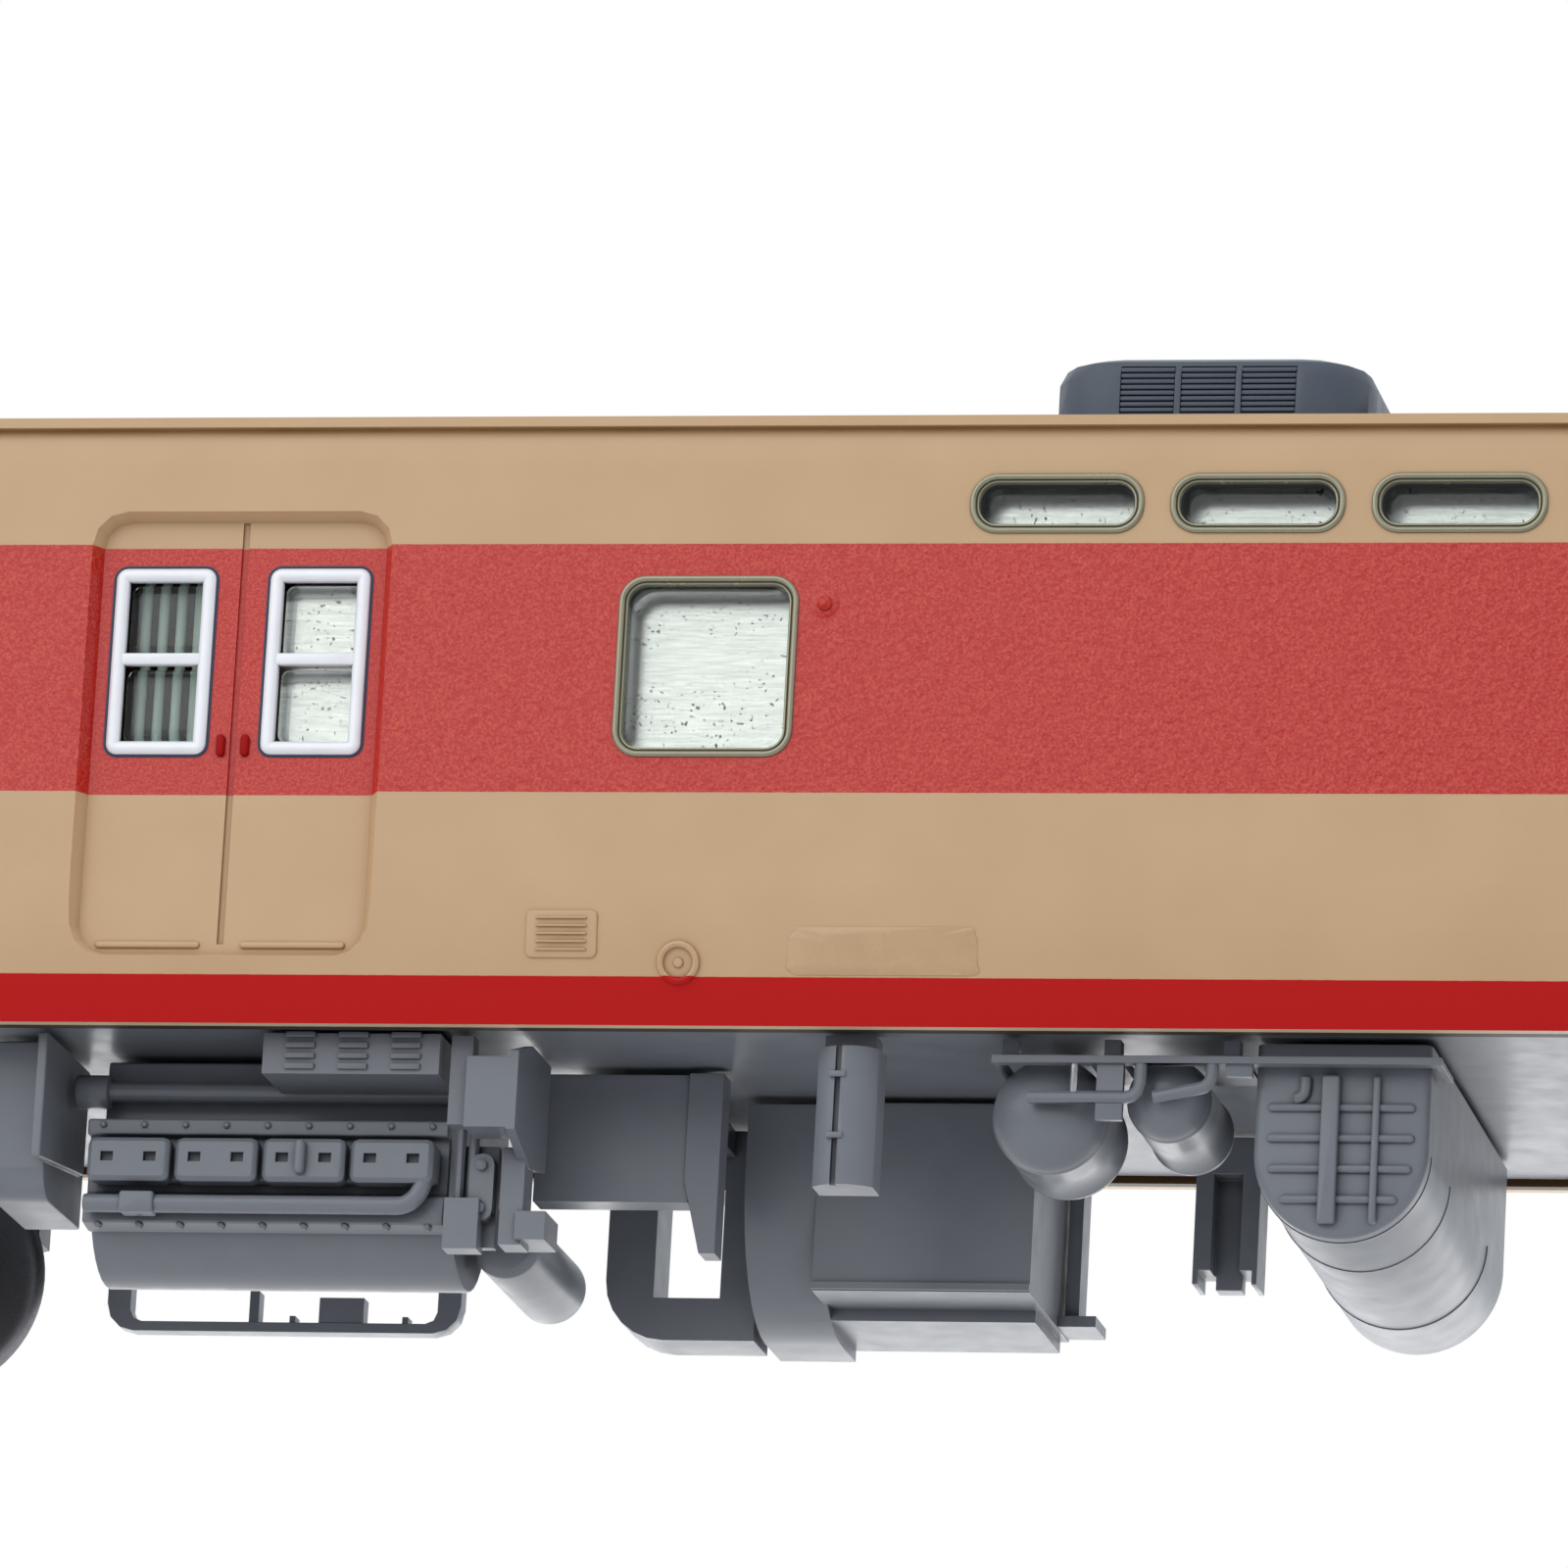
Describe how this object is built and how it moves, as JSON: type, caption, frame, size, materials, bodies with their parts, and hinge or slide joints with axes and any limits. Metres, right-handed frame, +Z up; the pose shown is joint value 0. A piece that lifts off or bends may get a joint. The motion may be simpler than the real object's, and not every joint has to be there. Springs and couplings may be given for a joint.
{
  "type": "model passenger coach",
  "caption": "Model diesel baggage coach: banded body with recessed double doors, oblong high windows, roof coolers, underfloor engine gear, swivelling wheeled bogies and swinging couplers.",
  "frame": {"origin": "centre of the coach on the plane under the wheel flanges", "axes": "+X towards the front end, -Y the right-hand side, +Z up"},
  "size_m": [0.264, 0.0366, 0.0496],
  "materials": {
    "cream_paint": "painted, two colours in bands, light orange peel",
    "roof_grey": "painted dark grey",
    "unit_grey": "painted blue-grey",
    "clear_plastic": "clear, polished",
    "lens_plastic": "clear, polished",
    "plated_steel": "plated, fine brushed",
    "underfloor_grey": "moulded grey",
    "bogie_grey": "moulded dark grey",
    "wheel_metal": "turned, blackened",
    "axle_steel": "turned",
    "bellows_grey": "matt moulded",
    "coupler_black": "moulded black"
  },
  "bodies": {
    "coach": {"body_shell": "cream_paint", "floor_frame": "underfloor_grey", "roof": "roof_grey", "glazing_right": "clear_plastic", "glazing_left": "clear_plastic", "ballast_plate_right": "plated_steel", "ballast_plate_left": "plated_steel", "windscreen_front": "clear_plastic", "light_guide_front": "lens_plastic", "gangway_bellows_front": "bellows_grey", "coupler_pocket_front": "bogie_grey", "cooling_unit_front": "unit_grey", "kingpin_front": "axle_steel", "windscreen_rear": "clear_plastic", "light_guide_rear": "lens_plastic", "gangway_bellows_rear": "bellows_grey", "coupler_pocket_rear": "bogie_grey", "cooling_unit_rear": "unit_grey", "kingpin_rear": "axle_steel", "fuel_tank": "underfloor_grey", "reservoir_bracket": "underfloor_grey", "relay_case": "underfloor_grey", "rear_relay_case": "underfloor_grey", "generator": "underfloor_grey", "radiator_shroud": "underfloor_grey", "guard_frame": "underfloor_grey", "engine_block": "underfloor_grey", "cylinder_heads": "underfloor_grey", "exhaust_pipe": "underfloor_grey", "louvred_box": "underfloor_grey", "injection_pump": "underfloor_grey", "step_bracket": "underfloor_grey", "silencer": "underfloor_grey", "gearbox": "underfloor_grey", "battery_box": "underfloor_grey", "radiator": "underfloor_grey", "control_cabinet": "underfloor_grey", "brake_cylinder": "underfloor_grey", "air_reservoir_large": "underfloor_grey", "air_reservoir_small": "underfloor_grey"},
    "bogie_front": {"bolster_front": "bogie_grey", "side_frame_right_front": "bogie_grey", "side_frame_left_front": "bogie_grey"},
    "wheelset_outer_front": {"axle_outer_front": "axle_steel", "wheel_right_outer_front": "wheel_metal", "wheel_left_outer_front": "wheel_metal"},
    "wheelset_inner_front": {"axle_inner_front": "axle_steel", "wheel_right_inner_front": "wheel_metal", "wheel_left_inner_front": "wheel_metal"},
    "coupler_front": {"coupler_front": "coupler_black"},
    "bogie_rear": {"bolster_rear": "bogie_grey", "side_frame_right_rear": "bogie_grey", "side_frame_left_rear": "bogie_grey"},
    "wheelset_outer_rear": {"axle_outer_rear": "axle_steel", "wheel_right_outer_rear": "wheel_metal", "wheel_left_outer_rear": "wheel_metal"},
    "wheelset_inner_rear": {"axle_inner_rear": "axle_steel", "wheel_right_inner_rear": "wheel_metal", "wheel_left_inner_rear": "wheel_metal"},
    "coupler_rear": {"coupler_rear": "coupler_black"}
  },
  "joints": [
    {"name": "bogie_front_swivel", "type": "hinge", "parent": "coach", "child": "bogie_front", "pos_m": [0.09299, 0, 0.00602], "axis": [0, 0, 1], "range_deg": [-12, 12]},
    {"name": "wheelset_outer_front_turn", "type": "hinge", "parent": "bogie_front", "child": "wheelset_outer_front", "pos_m": [0.10612, 0, 0.00602], "axis": [0, 1, 0], "continuous": true},
    {"name": "wheelset_inner_front_turn", "type": "hinge", "parent": "bogie_front", "child": "wheelset_inner_front", "pos_m": [0.07987, 0, 0.00602], "axis": [0, 1, 0], "continuous": true},
    {"name": "coupler_front_swing", "type": "hinge", "parent": "coach", "child": "coupler_front", "pos_m": [0.11993, 0, 0.01142], "axis": [0, 0, 1], "range_deg": [-15, 15]},
    {"name": "bogie_rear_swivel", "type": "hinge", "parent": "coach", "child": "bogie_rear", "pos_m": [-0.09299, 0, 0.00602], "axis": [0, 0, 1], "range_deg": [-12, 12]},
    {"name": "wheelset_outer_rear_turn", "type": "hinge", "parent": "bogie_rear", "child": "wheelset_outer_rear", "pos_m": [-0.10612, 0, 0.00602], "axis": [0, 1, 0], "continuous": true},
    {"name": "wheelset_inner_rear_turn", "type": "hinge", "parent": "bogie_rear", "child": "wheelset_inner_rear", "pos_m": [-0.07987, 0, 0.00602], "axis": [0, 1, 0], "continuous": true},
    {"name": "coupler_rear_swing", "type": "hinge", "parent": "coach", "child": "coupler_rear", "pos_m": [-0.11993, 0, 0.01142], "axis": [0, 0, 1], "range_deg": [-15, 15]}
  ]
}
